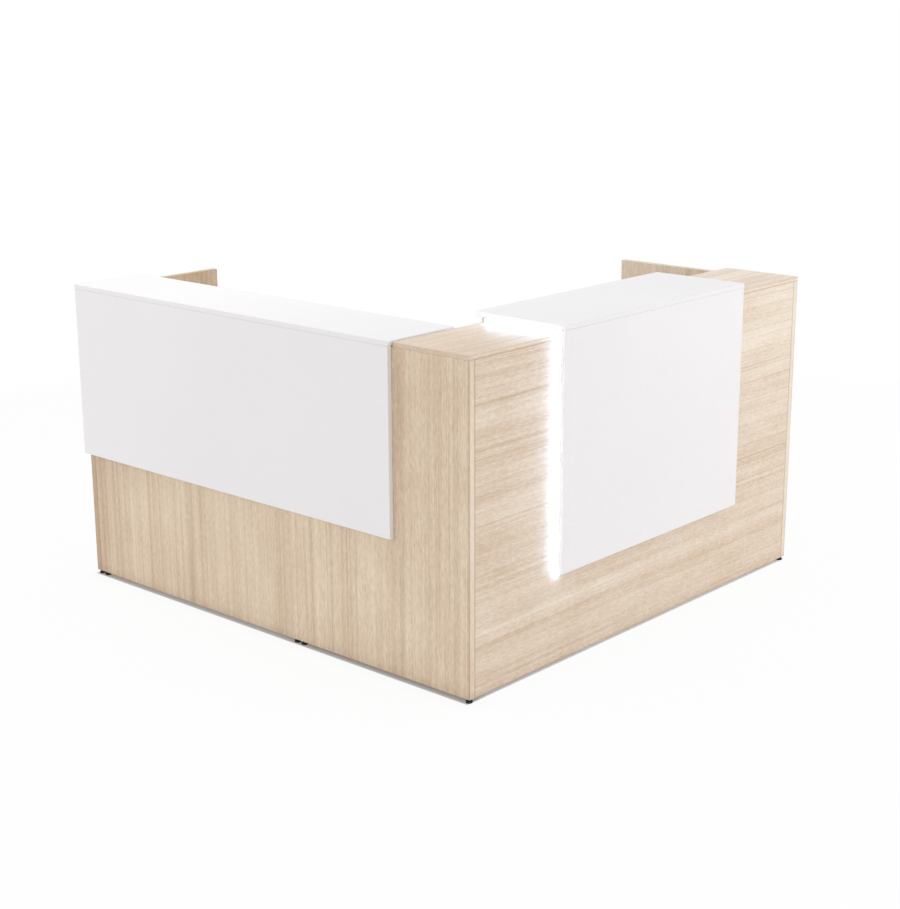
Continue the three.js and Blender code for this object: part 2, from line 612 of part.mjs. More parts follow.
addFeet();
addPanels();
addLeftBlock();
addRightBlock();
addGables();
addWorktops();
addGrommets();
addBrackets();
addLightLine();
addSupply();

// The origin is on the floor, under the middle of the whole desk
const lowX = LEFT_BLOCK_START;
const highX = RIGHT_STANDOFF + WHITE_BOARD;
const lowY = LEFT_FASCIA_FRONT;
const highY = RIGHT_Y;
desk.position.set(-(lowX + highX) / 2, -(lowY + highY) / 2, 0);

export default desk;
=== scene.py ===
import math

import bmesh
import bpy
from mathutils import Matrix, Vector


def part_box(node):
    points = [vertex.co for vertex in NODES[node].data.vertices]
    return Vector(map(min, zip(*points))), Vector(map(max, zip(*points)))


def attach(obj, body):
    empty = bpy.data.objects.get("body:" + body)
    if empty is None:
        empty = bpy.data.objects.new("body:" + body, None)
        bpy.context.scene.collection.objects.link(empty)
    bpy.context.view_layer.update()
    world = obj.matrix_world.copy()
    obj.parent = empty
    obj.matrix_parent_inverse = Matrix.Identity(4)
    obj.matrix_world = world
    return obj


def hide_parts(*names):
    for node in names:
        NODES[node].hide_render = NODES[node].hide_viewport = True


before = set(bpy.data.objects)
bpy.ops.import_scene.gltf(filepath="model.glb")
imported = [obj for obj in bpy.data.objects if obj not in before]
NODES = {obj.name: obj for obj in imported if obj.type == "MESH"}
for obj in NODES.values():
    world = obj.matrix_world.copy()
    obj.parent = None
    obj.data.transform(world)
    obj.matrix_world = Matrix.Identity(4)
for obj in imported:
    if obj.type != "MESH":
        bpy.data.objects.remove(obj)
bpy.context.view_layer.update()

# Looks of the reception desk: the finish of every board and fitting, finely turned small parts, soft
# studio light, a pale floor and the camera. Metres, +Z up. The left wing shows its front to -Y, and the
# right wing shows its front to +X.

X, Y, Z = 0, 1, 2
MM = 0.001
WHITE = (1.0, 1.0, 1.0, 1.0)
LEFT_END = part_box("left_end_panel")[0].x

# Camera at the photograph's viewing angle
CAMERA_PLACE = Vector((4.03315, -4.46255, 2.0894))
CAMERA_AZIMUTH = math.radians(41.894)
CAMERA_PITCH = math.radians(15.403)
CAMERA_ROLL = math.radians(-0.251)
CAMERA_LENS = 67.94
CAMERA_SENSOR = 36.0

# Light: the world's soft light, and broad lamps as place, aim, width and power
WORLD_STRENGTH = 0.845
LAMPS = {
    "left_top_lamp": ((-0.8, -0.7, 2.7), (-0.25, -0.75, 1.07), 1.2, 7.5),
    "left_lamp": ((-2.8, -4.6, 2.6), (-0.7, -0.9, 0.7), 2.6, 25.0),
    "right_lamp": ((4.6, 2.6, 2.6), (0.9, 0.5, 0.7), 2.6, 52.0),
}

# The light line: its strength, the two tones that it ripples between, and its opal cover
LIGHT_LINE_STRENGTH = 17.0
LIGHT_LINE_COOL = (0.42, 0.62, 1.0)
LIGHT_LINE_WARM = (0.46, 0.65, 1.0)
LIGHT_LINE_RIPPLE = 40.0
LIGHT_LINE_RIPPLE_DETAIL = 1.0
COVER_COLOUR = (0.85, 0.87, 0.9)
COVER_ROUGHNESS = 0.35

# Painted glow: emission on the ends of the white boards, most of all at the tip of the top board
PAINTED_END_GLOW = 0.13
PAINTED_TIP_GLOW = 0.36
PAINTED_GLOW_REACH = 0.08

# Floor: its colour, and the darker colour of its painted shade within reach of the left front
FLOOR_SIZE = 120.0
FLOOR_ROUGHNESS = 0.9
FLOOR_COLOUR = (0.92, 0.92, 0.92)
FLOOR_PAINTED_SHADE = (0.64, 0.61, 0.58)
FLOOR_PAINTED_SHADE_REACH = 0.08

# Its whiteness: low at the foot of each board, rising behind the fronts, nearly full outside, and full
# far away
SHADE_WHITENESS = 0.14
NEAR_WHITENESS = 0.92
INNER_FADE = 0.35
SHADE_MARGIN = 0.003
SHADE_FADE = 0.004
LIT_DEPTH = 0.010
OPEN_REACH = 0.5
FAR_FADE = (1.6, 4.0)

# Wood tones: the darkest streaks, the palest wood, the thin dark lines of the grain, and the mean paleness
STANDING_OAK = {
    "dark": (0.500, 0.337, 0.220),
    "pale": (0.875, 0.739, 0.560),
    "line": (0.47, 0.31, 0.185),
    "mean": 0.62,
}
LENGTHWISE_OAK = {
    "dark": (0.550, 0.372, 0.220),
    "pale": (0.868, 0.763, 0.645),
    "line": (0.50, 0.345, 0.215),
    "mean": 0.57,
}
SOFTWOOD = {
    "dark": (0.40, 0.26, 0.13),
    "pale": (0.76, 0.59, 0.39),
    "line": (0.36, 0.20, 0.09),
    "mean": 0.60,
}

# Layers of the grain: cycles per metre across and along the fibres, roughness, and weight in the paleness
GRAIN = {
    "band": (6.0, 0.15, 0.5, 0.2),
    "streak": (40.0, 0.2, 0.9, 0.95),
    "mottle": (10.0, 4.0, 0.6, 0.50),
    "fleck": (220.0, 50.0, 0.5, 0.85),
}
GRAIN_DETAIL = 3.0
NOISE_MEAN = 0.5

# How far a seed moves the grain along each axis
SEED_STEPS = (1.0, 1.7, 2.3)

# The fibres' slow drift to either side: cycles per metre across and along, and its width
DRIFT = (2.5, 0.9)
DRIFT_WIDTH = 0.02

# Thin dark lines where the streaks are darkest, and open pores
LINE_RANGE = (0.30, 0.46)
LINE_DEPTH = 0.25
PORE = (900.0, 40.0)
PORE_DETAIL = 1.0
PORE_RANGE = (0.60, 0.72)
PORE_DEPTH = 0.25

# Darker board ends and joints, the rims of the edge bands, and painted shade at the foot of floor boards
END_DARKNESS = 0.2
JOINT_DARKNESS = 0.7
JOINT_TONE = 0.4
RIM_START = 0.45
RIM_DARKNESS = 0.5
FOOT_PAINTED_SHADE_HEIGHT = 0.035
FOOT_PAINTED_SHADE_DEPTH = 0.16

# Roughness from paleness, the share of the paleness in the relief, and the relief's depth and strength
WOOD_ROUGHNESS = (0.3, 0.9, 0.52, 0.42)
GRAIN_RELIEF = 0.5
WOOD_BUMP = (0.12 * MM, 0.5)

# The plain softwood pieces inside, each with a seed of its own
SOFTWOOD_KINDS = ("packer", "batten", "cleat")
SOFTWOOD_SEED_STEP = 0.37

# A board stands on the floor when its underside is lower than this
FLOOR_BOARD_HEIGHT = 0.02

# The share of a normal along an axis over which a face lies square to the axis, or turns towards it
FLAT_NORMAL = 0.9
TOWARDS_NORMAL = 0.4

# Boards with wood grain: the axis along the grain, the tone, the place in the endless grain that the board
# shows, and the change of its paleness
WOOD_BOARDS = {
    "left_front_panel": (Z, STANDING_OAK, 28.48, 0.0),
    "corner_front_panel": (Z, STANDING_OAK, 29.08, 0.0),
    "right_front_panel": (Y, LENGTHWISE_OAK, 49.96, 0.0),
    # Painted shade: the left end panel's lower paleness stands for the shade on its inner face
    "left_end_panel": (Z, STANDING_OAK, 3.3, -0.15),
    "right_end_panel": (Z, LENGTHWISE_OAK, 4.2, 0.26),
    "counter_cap": (Y, LENGTHWISE_OAK, 5.0, 0.0),
    "middle_gable": (Z, STANDING_OAK, 5.8, 0.0),
    "left_upper_gable": (Z, STANDING_OAK, 6.6, 0.0),
    "corner_upper_gable": (Z, STANDING_OAK, 7.5, 0.0),
    "right_upper_gable": (Z, LENGTHWISE_OAK, 8.3, 0.0),
    "left_worktop": (X, LENGTHWISE_OAK, 9.1, 0.0),
    "right_worktop": (Y, LENGTHWISE_OAK, 10.0, 0.0),
}

# Broad bands of darker and paler growth, and patches of painted light and shade: place across the board,
# half width, and change of paleness.
# Places count from the desk's left end on standing boards and from the floor on lengthwise ones.
# A band lies on the board's faces. A patch also has a place along the grain and half a length, and takes
# in the edges. The last bands of the corner board are the lines beside its arris. The left board's patch
# is painted shadow under the left fascia, and the corner board's dark patch is painted shadow beside the
# fascia's end. The right board's and the cap's first patches are painted light from the right at their
# far end, and their last patches, beside the light line, are its painted glow.
GROWTH_AND_PAINTED_LIGHT = {
    "left_front_panel": (
        (0.035, 0.050, -0.20),
        (0.070, 0.025, -0.16),
        (0.118, 0.025, -0.06),
        (0.440, 0.060, 0.06),
        (0.602, 0.022, -0.08),
        (0.985, 0.030, -0.08),
        # Painted shadow under the left fascia
        (0.220, 0.300, -0.13, 0.46, 0.16),
    ),
    "corner_front_panel": (
        (1.298, 0.030, 0.08),
        (1.510, 0.040, -0.06),
        # Painted shadow beside the left fascia's end
        (1.535, 0.038, -0.34, 1.05, 0.70),
        (1.350, 0.600, 0.08, 0.20, 0.40),
        (1.648, 0.025, -0.04),
        (1.686, 0.022, 0.08),
        (1.768, 0.030, -0.11),
        (1.804, 0.0045, 0.30),
        (1.8125, 0.0045, -0.30),
    ),
    "right_front_panel": (
        (0.045, 0.030, 0.09),
        (0.158, 0.035, -0.06),
        (0.212, 0.030, 0.11),
        (0.475, 0.070, -0.11),
        (0.600, 0.050, 0.05),
        (0.775, 0.040, 0.08),
        (0.825, 0.035, -0.05),
        # Painted light from the right, at the far end
        (1.000, 0.900, 0.28, 0.90, 1.20),
        # Painted glow of the light line
        (0.700, 0.550, 0.17, -0.49, 0.26),
    ),
    "counter_cap": (
        # Painted light from the right, at the far end
        (1.665, 1.500, 0.24, 0.95, 1.00),
        # Painted glow of the light line
        (1.665, 1.500, 0.22, -0.49, 0.26),
    ),
}

# Wear: the tone of rubbed white arrises, how much lighter rubbed plastic is, the slope of the rims where it
# is rubbed, and how a noise turns into wear
WORN_WHITE = (0.74, 0.72, 0.72)
WORN_PLASTIC = 1.7
WORN_SLOPE = (0.6, 0.3)
WEAR_RANGE = (0.35, 0.65, 0.15, 0.75)

# Edges: the tone that the edge band leans to, and how far at the middle of its length and towards its ends
PLAIN_EDGE = (LENGTHWISE_OAK["pale"], 0.16, 0.16)
EDGES = {
    "left_end_panel": (STANDING_OAK["line"], 0.5, 0.5),
    "corner_front_panel": (LENGTHWISE_OAK["pale"], 0.55, 0.12),
}

# Upright boards that show a dark joint towards +X
DARK_JOINTS = ("corner_front_panel", "right_front_panel", "left_end_panel", "right_end_panel")

# White lacquer: its boards, two shades, what clouds and grit weigh between them, and its fine texture
WHITE_BOARDS = ("counter_top", "fascia")
WHITE_SHADES = ((0.843, 0.827, 0.835), (0.89, 0.877, 0.887))
WHITE_CLOUD = 2.5
WHITE_CLOUD_WEIGHT = 0.2
WHITE_GRIT = 220.0
WHITE_GRIT_DETAIL = 3.0
WHITE_GRIT_ROUGHNESS = 0.7
WHITE_GRIT_WEIGHT = 0.8
WHITE_ROUGHNESS = (0.42, 0.52)
WHITE_BUMP = (0.06 * MM, 0.4)

# The part of a noise's range that clouds, grit and the sheen of metal make use of
CLOUD_RANGE = (0.3, 0.7)
GRIT_RANGE = (0.2, 0.8)
SHEEN_RANGE = (0.35, 0.65)

# Plastics: colour, roughness, and how far the colour varies
PLASTICS = {
    "black_plastic": ((0.007, 0.007, 0.0075), 0.5, 0.10),
    "grey_plastic": ((0.11, 0.117, 0.128), 0.48, 0.10),
    "white_plastic": ((0.80, 0.80, 0.78), 0.42, 0.03),
}
PLASTIC_GRIT = 1400.0
PLASTIC_CLOUD = 60.0
PLASTIC_ROUGHNESS_SPREAD = 0.06
PLASTIC_BUMP = (0.05 * MM, 0.5)

# Metals: colour and roughness, and the lines that drawing leaves, in cycles per metre across and along
STEEL = ((0.66, 0.67, 0.68), 0.38)
ALUMINIUM = ((0.78, 0.79, 0.80), 0.34)
METAL_LINES = (900.0, 12.0)
METAL_CLOUD = 45.0
METAL_CLOUD_DETAIL = 3.0
METAL_DULLNESS = 0.9
METAL_ROUGHNESS_SPREAD = (-0.08, 0.1)
METAL_BUMP = (0.03 * MM, 0.4)

# Small fittings: the gap between pieces, and how finely rims and edges are rounded
SEAM = 0.3 * MM
WELD_GAP = 0.01 * MM
BEVEL_PROFILE = 0.5
ROUND_SIDES = 48
ROUND_STEPS = 3
SHARP_ANGLE = math.radians(35.0)
FLAT_ANGLE = math.radians(1.0)

# Feet: the pad with its rounded rims, as shares of its radius and heights, the collar and the stud
FLUTES = 12
FLUTE_DEPTH = 0.08
FOOT_PAD_HEIGHT = 7 * MM
FOOT_PAD_FACE = 0.84
FOOT_PAD_SHOULDER = 0.95
FOOT_PAD_SHOULDER_HEIGHT = 0.5 * MM
FOOT_PAD_RIM_HEIGHT = 1.5 * MM
FOOT_COLLAR_RADIUS = 7.5 * MM
FOOT_COLLAR_TOP = 13 * MM
FOOT_COLLAR_FACE = 0.9
FOOT_COLLAR_CHAMFER = 0.7 * MM
STUD_RADIUS = 4 * MM
THREAD_PITCH = 1.25 * MM
THREAD_DEPTH = 0.6 * MM

# Cable grommets: the sleeve's wall, the ledge under the cap, and the rounding of flange and lip
GROMMET_WALL = 1.4 * MM
GROMMET_LEDGE = 2.2 * MM
GROMMET_ROUND = 1.5 * MM
GROMMET_LIP = 0.6 * MM

# Screws: the pan head and its socket as shares of the head's radius and height, and their places
SCREW_RADIUS = 4 * MM
SCREW_HEIGHT = 2.4 * MM
SCREW_HEAD = ((1.0, 0.0), (1.0, 0.25), (0.92, 0.6), (0.75, 0.88), (0.55, 1.0))
SCREW_SOCKET = ((0.48, 1.0), (0.46, 0.35))
BRACKET_THICKNESS = 3 * MM
BRACKET_SCREW_REACH = 25 * MM
BRACKET_SCREW_HEIGHTS = (15 * MM, 45 * MM)
CLEAT_SCREW_SPACING = 300 * MM
CLEAT_SCREW_INSET = 40 * MM
CLEAT_SCREWS_LEAST = 2

# The light's supply: driver, mains gland and switch
DRIVER_LID = 10 * MM
DRIVER_EASE = 2 * MM
DRIVER_STEP = 1.5 * MM
DRIVER_RIB = 1 * MM
DRIVER_RIB_EASE = 0.4 * MM
DRIVER_RIBS = 9
GLAND_BORE = 3.5 * MM
GLAND_NUT = 6 * MM
GLAND_NUT_FACE = 0.92
GLAND_NUT_CHAMFER = 0.6 * MM
GLAND_SLEEVE = 0.82
GLAND_TIP = 5 * MM
GLAND_RIBS = 4
GLAND_RIB_SHARE = 0.6
GLAND_RIB_SLOPE = 0.3 * MM
GLAND_GROOVE = 0.5 * MM
SWITCH_CASE_EASE = 0.8 * MM
SWITCH_KEY_EASE = 0.5 * MM

# The way that each bracket's legs run along X and Y from its heel
BRACKET_LEGS = {
    "corner_bracket_lower": (-1, 1),
    "corner_bracket_upper": (-1, 1),
    "left_end_bracket": (1, 1),
    "right_end_bracket": (-1, -1),
}

# The open side of each cleat, as an axis and a direction
CLEAT_FACES = {
    "left_front_cleat": (Y, 1),
    "left_end_cleat": (X, 1),
    "right_front_cleat": (X, -1),
    "right_end_cleat": (Y, -1),
    "left_top_cleat": (X, -1),
}


def axis_by_size(node, pick):
    """The axis along which a node is the shortest or longest, as picked by min or max."""
    low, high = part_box(node)
    size = high - low
    return pick((X, Y, Z), key=lambda axis: size[axis])


class Finish:
    """A material built node by node; the methods give back output sockets."""

    def __init__(self, name):
        self.material = bpy.data.materials.new(name)
        self.material.use_nodes = True
        self.tree = self.material.node_tree
        self.surface = self.tree.nodes["Principled BSDF"]
        self.place = self.node("ShaderNodeTexCoord").outputs

    def plug(self, socket, value):
        if isinstance(value, bpy.types.NodeSocket):
            self.tree.links.new(value, socket)
        else:
            socket.default_value = value

    def node(self, kind, inputs=None, **settings):
        made = self.tree.nodes.new(kind)
        for name, value in settings.items():
            setattr(made, name, value)
        for key, value in (inputs or {}).items():
            self.plug(made.inputs[key], value)
        return made

    def set(self, **values):
        for name, value in values.items():
            self.plug(self.surface.inputs[name.replace("_", " ")], value)
        return self

    def math(self, operation, a, b=0.0):
        return self.node("ShaderNodeMath", {0: a, 1: b}, operation=operation).outputs[0]

    def vector(self, operation, a, b=(0.0, 0.0, 0.0)):
        return self.node("ShaderNodeVectorMath", {0: a, 1: b}, operation=operation).outputs[0]

    def length(self, vector):
        return self.node("ShaderNodeVectorMath", {0: vector}, operation="LENGTH").outputs["Value"]

    def split(self, vector):
        return self.node("ShaderNodeSeparateXYZ", {0: vector}).outputs

    def join(self, x, y, z):
        return self.node("ShaderNodeCombineXYZ", {0: x, 1: y, 2: z}).outputs[0]

    def noise(self, vector, scale, detail=2.0, roughness=0.5):
        """Noise with a scale of its own, in cycles per metre, along each axis of the vector."""
        inputs = {"Vector": self.vector("MULTIPLY", vector, scale), "Scale": 1.0}
        inputs.update({"Detail": detail, "Roughness": roughness})
        return self.node("ShaderNodeTexNoise", inputs).outputs["Fac"]

    def grain(self, vector, across, along, detail=2.0, roughness=0.5):
        """Noise drawn out along the vector's third axis."""
        return self.noise(vector, (across, across, along), detail, roughness)

    def remap(self, value, low, high, to_low=0.0, to_high=1.0):
        """A value's range turned smoothly into another range, and held at its ends."""
        inputs = {"Value": value, "From Min": low, "From Max": high}
        inputs.update({"To Min": to_low, "To Max": to_high})
        return self.node("ShaderNodeMapRange", inputs, interpolation_type="SMOOTHSTEP").outputs["Result"]

    def hump(self, value, middle, half_width, height=1.0, foot=0.0):
        """A smooth hump in a value, with its height at the middle and its foot half a width away."""
        off_middle = self.math("ABSOLUTE", self.math("SUBTRACT", value, middle))
        return self.remap(off_middle, 0.0, half_width, height, foot)

    def mix(self, factor, a, b):
        return self.node("ShaderNodeMix", {0: factor, 6: a, 7: b}, data_type="RGBA").outputs[2]

    def blend(self, factor, a, b):
        return self.node("ShaderNodeMix", {0: factor, 4: a, 5: b}, data_type="VECTOR").outputs[1]

    def facing(self):
        """How far the surface faces along each axis, either way."""
        return [self.math("ABSOLUTE", part) for part in self.split(self.place["Normal"])]

    def bump(self, height, distance, strength):
        inputs = {"Height": height, "Distance": distance, "Strength": strength}
        self.set(Normal=self.node("ShaderNodeBump", inputs).outputs[0])
        return self


def opaque(colour):
    return (*colour, 1.0)


def scaled(values, factor):
    return tuple(value * factor for value in values)


def even(scale):
    return (scale, scale, scale)


def wood(node, tone, along, seed, shift=0.0, edge=None, growth_and_painted_light=(), dark_joint=False):
    """Wood-grain laminate: dense streaks, thin dark lines, flecks and pores that run along the grain.

    The edges carry a band whose grain follows the edge, darker along its rims, and a board that stands on
    the floor darkens towards its foot as painted shade. A dark joint shows along the upright edges towards
    +X.
    """
    finish = Finish(f"wood_{node}")
    low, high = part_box(node)
    thin = axis_by_size(node, min)
    across = X + Y + Z - along - thin
    place = finish.split(finish.place["Object"])
    axes = finish.split(finish.vector("ADD", finish.place["Object"], scaled(SEED_STEPS, seed)))
    facing = finish.facing()
    on_face = finish.join(axes[across], axes[thin], axes[along])
    on_end = finish.join(axes[along], axes[thin], axes[across])
    is_end = finish.math("GREATER_THAN", facing[along], FLAT_NORMAL)
    is_side = finish.math("GREATER_THAN", facing[across], FLAT_NORMAL)
    straight = finish.blend(is_end, on_face, on_end)
    drift = finish.math("MULTIPLY", finish.grain(straight, *DRIFT), DRIFT_WIDTH)
    parts = finish.split(straight)
    fibre = finish.join(finish.math("ADD", parts[0], drift), parts[1], parts[2])

    layers = {}
    paleness = tone["mean"] + shift - NOISE_MEAN * sum(weight for *_, weight in GRAIN.values())
    for layer, (wide, long, roughness, weight) in GRAIN.items():
        layers[layer] = finish.grain(fibre, wide, long, GRAIN_DETAIL, roughness)
        paleness = finish.math("ADD", finish.math("MULTIPLY", layers[layer], weight), paleness)
    line = finish.remap(layers["streak"], *LINE_RANGE, LINE_DEPTH, 0.0)
    # Some of these bands and patches are painted light and shade rather than growth
    if growth_and_painted_light:
        start = LEFT_END if across == X else 0.0
        on_front = finish.math("GREATER_THAN", facing[thin], FLAT_NORMAL)
        for middle, half_width, change, *length in growth_and_painted_light:
            band = finish.hump(place[across], start + middle, half_width, change)
            extent = finish.hump(place[along], *length) if length else on_front
            paleness = finish.math("ADD", paleness, finish.math("MULTIPLY", band, extent))
    # Painted shade: a board that stands on the floor darkens towards its foot
    if low.z < FLOOR_BOARD_HEIGHT:
        foot_painted_shade = finish.remap(place[Z], low.z, low.z + FOOT_PAINTED_SHADE_HEIGHT, FOOT_PAINTED_SHADE_DEPTH, 0.0)
        paleness = finish.math("SUBTRACT", paleness, foot_painted_shade)

    pore = finish.remap(finish.grain(fibre, *PORE, PORE_DETAIL), *PORE_RANGE, 0.0, PORE_DEPTH)
    colour = finish.mix(paleness, opaque(tone["dark"]), opaque(tone["pale"]))
    colour = finish.mix(line, colour, opaque(tone["line"]))
    colour = finish.mix(pore, colour, opaque(tone["line"]))
    if edge:
        edge_tone, middle_share, end_share = edge
        middle = (low[along] + high[along]) / 2
        half_length = (high[along] - low[along]) / 2
        share = finish.hump(place[along], middle, half_length, middle_share, end_share)
        colour = finish.mix(finish.math("MULTIPLY", is_side, share), colour, opaque(edge_tone))
        half = (high[thin] - low[thin]) / 2
        off_middle = finish.math("ABSOLUTE", finish.math("SUBTRACT", place[thin], low[thin] + half))
        rim = finish.remap(off_middle, RIM_START * half, half, 0.0, RIM_DARKNESS)
        colour = finish.mix(finish.math("MULTIPLY", is_side, rim), colour, opaque(tone["line"]))
    colour = finish.mix(finish.math("MULTIPLY", is_end, END_DARKNESS), colour, opaque(tone["line"]))
    if dark_joint:
        eased = finish.math("LESS_THAN", finish.math("MAXIMUM", facing[X], facing[Y]), FLAT_NORMAL)
        towards = finish.math("GREATER_THAN", finish.split(finish.place["Normal"])[X], TOWARDS_NORMAL)
        joint = finish.math("MULTIPLY", finish.math("MULTIPLY", eased, towards), JOINT_DARKNESS)
        colour = finish.mix(joint, colour, opaque(scaled(tone["line"], JOINT_TONE)))

    height = finish.math("SUBTRACT", finish.math("MULTIPLY", paleness, GRAIN_RELIEF), pore)
    finish.set(Base_Color=colour, Roughness=finish.remap(paleness, *WOOD_ROUGHNESS))
    return finish.bump(height, *WOOD_BUMP).material


def white_board(name, painted_glow=False):
    """White lacquered board: a fine dry texture, a trace of unevenness in its tone, and rubbed arrises.

    On the right boards, the ends towards the corner get a painted glow of the light line, as emission.
    """
    finish = Finish(name)
    place = finish.place["Object"]
    cloud = finish.math("MULTIPLY", finish.noise(place, even(WHITE_CLOUD)), WHITE_CLOUD_WEIGHT)
    grit = finish.noise(place, even(WHITE_GRIT), WHITE_GRIT_DETAIL, WHITE_GRIT_ROUGHNESS)
    shade = finish.math("ADD", cloud, finish.math("MULTIPLY", grit, WHITE_GRIT_WEIGHT))
    darker, lighter = WHITE_SHADES
    colour = finish.mix(finish.remap(shade, *CLOUD_RANGE), opaque(darker), opaque(lighter))
    facing = finish.facing()
    flattest = finish.math("MAXIMUM", finish.math("MAXIMUM", facing[X], facing[Y]), facing[Z])
    arris = finish.math("LESS_THAN", flattest, FLAT_NORMAL)
    worn = finish.math("MULTIPLY", arris, finish.remap(grit, *WEAR_RANGE))
    colour = finish.mix(worn, colour, opaque(WORN_WHITE))
    finish.set(Base_Color=colour, Roughness=finish.remap(grit, *GRIT_RANGE, *WHITE_ROUGHNESS))
    if painted_glow:
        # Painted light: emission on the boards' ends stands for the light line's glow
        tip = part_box("right_counter_top")[0].x
        glow = finish.remap(finish.split(place)[X], tip, tip + PAINTED_GLOW_REACH, PAINTED_TIP_GLOW, PAINTED_END_GLOW)
        is_end = finish.math("LESS_THAN", finish.split(finish.place["Normal"])[Y], -TOWARDS_NORMAL)
        finish.set(Emission_Color=WHITE, Emission_Strength=finish.math("MULTIPLY", is_end, glow))
    return finish.bump(grit, *WHITE_BUMP).material


def plastic(name, colour, roughness, speckle):
    """Moulded plastic with a fine spark-eroded texture, rubbed paler along its rims."""
    finish = Finish(name)
    place = finish.place["Object"]
    grit = finish.noise(place, even(PLASTIC_GRIT))
    cloud = finish.noise(place, even(PLASTIC_CLOUD))
    darker = opaque(scaled(colour, 1.0 - speckle))
    lighter = opaque(scaled(colour, 1.0 + speckle))
    tone = finish.mix(finish.remap(cloud, *CLOUD_RANGE), darker, lighter)
    slope = finish.math("ABSOLUTE", finish.split(finish.place["Normal"])[Z])
    rim = finish.hump(slope, *WORN_SLOPE)
    worn = finish.math("MULTIPLY", rim, finish.remap(cloud, *WEAR_RANGE))
    rubbed = opaque(min(1.0, channel) for channel in scaled(colour, WORN_PLASTIC))
    tone = finish.mix(worn, tone, rubbed)
    spread = (roughness - PLASTIC_ROUGHNESS_SPREAD, roughness + PLASTIC_ROUGHNESS_SPREAD)
    finish.set(Base_Color=tone, Roughness=finish.remap(grit, *GRIT_RANGE, *spread))
    return finish.bump(grit, *PLASTIC_BUMP).material


def brushed_metal(name, colour, roughness, along):
    """Metal with drawing lines along one axis."""
    finish = Finish(name)
    across_lines, along_lines = METAL_LINES
    scale = list(even(across_lines))
    scale[along] = along_lines
    lines = finish.noise(finish.place["Object"], scale)
    cloud = finish.noise(finish.place["Object"], even(METAL_CLOUD), METAL_CLOUD_DETAIL)
    dull = opaque(scaled(colour, METAL_DULLNESS))
    tone = finish.mix(finish.remap(cloud, *SHEEN_RANGE), dull, opaque(colour))
    finish.set(Base_Color=tone, Metallic=1.0)
    spread = [roughness + change for change in METAL_ROUGHNESS_SPREAD]
    finish.set(Roughness=finish.remap(lines, *GRIT_RANGE, *spread))
    return finish.bump(lines, *METAL_BUMP).material


def lit_cover():
    """Opal cover of the light line; the lamps behind it leave a faint ripple."""
    finish = Finish("lit_cover")
    ripple = finish.noise(finish.place["Object"], even(LIGHT_LINE_RIPPLE), LIGHT_LINE_RIPPLE_DETAIL)
    glow = finish.mix(ripple, opaque(LIGHT_LINE_COOL), opaque(LIGHT_LINE_WARM))
    finish.set(Base_Color=opaque(COVER_COLOUR), Roughness=COVER_ROUGHNESS)
    finish.set(Emission_Color=glow, Emission_Strength=LIGHT_LINE_STRENGTH)
    return finish.material


def give(node, material):
    """Puts one material on every slot of a CAD node."""
    mesh = NODES[node].data
    mesh.materials.clear()
    mesh.materials.append(material)


def dress_boards():
    for node, (along, tone, seed, shift) in WOOD_BOARDS.items():
        edge = EDGES.get(node, PLAIN_EDGE)
        growth_and_painted_light = GROWTH_AND_PAINTED_LIGHT.get(node, ())
        give(node, wood(node, tone, along, seed, shift, edge, growth_and_painted_light, node in DARK_JOINTS))
    plain_white = white_board("white_board")
    painted_glow_white = white_board("white_board_painted_glow", painted_glow=True)
    for board in WHITE_BOARDS:
        give(f"left_{board}", plain_white)
        give(f"right_{board}", painted_glow_white)
    softwood_nodes = [node for node in NODES if any(kind in node for kind in SOFTWOOD_KINDS)]
    for count, node in enumerate(sorted(softwood_nodes), start=1):
        give(node, wood(node, SOFTWOOD, axis_by_size(node, max), SOFTWOOD_SEED_STEP * count))


def dress_fittings():
    black, grey, white = (plastic(name, *values) for name, values in PLASTICS.items())
    steel = brushed_metal("bracket_steel", *STEEL, Z)
    cover = lit_cover()
    for place, along in (("front", Z), ("top", X)):
        give(f"light_channel_{place}", brushed_metal(f"channel_{place}", *ALUMINIUM, along))
        give(f"light_tape_{place}", white)
        give(f"light_diffuser_{place}", cover)
    give("light_end_cap_front", cover)
    give("light_end_cap_top", white)
    for node in BRACKET_LEGS:
        give(node, steel)
    for node in ("light_driver", "driver_lead", "switch_lead", "switch_housing"):
        give(node, white)
    for side in ("left", "right"):
        give(f"{side}_grommet_ring", grey)
        give(f"{side}_grommet_cap", grey)
    for node in NODES:
        if node.startswith("foot_") or node in ("mains_gland", "switch_rocker"):
            give(node, black)
    add_feet(black, steel)
    for side in ("left", "right"):
        add_grommet(side, grey)
    add_screws(steel)
    add_supply(white, black)


def round_rim(angle):
    return 1.0


def hexagon(angle):
    """A hexagon's reach at an angle, as a share of its corners' reach."""
    side = math.pi / 3
    return math.cos(side / 2) / math.cos(angle % side - side / 2)


def fluted(angle):
    """The reach of a grip with shallow flutes, as a share of its widest."""
    return 1.0 - FLUTE_DEPTH * (0.5 + 0.5 * math.cos(FLUTES * angle))


def quarter_round(radius, height, size, start):
    """Rings of a rounded edge about a middle circle, through a quarter turn that begins at an angle."""
    for step in range(ROUND_STEPS + 1):
        angle = start + math.pi / 2 * step / ROUND_STEPS
        yield radius + size * math.cos(angle), height + size * math.sin(angle), round_rim


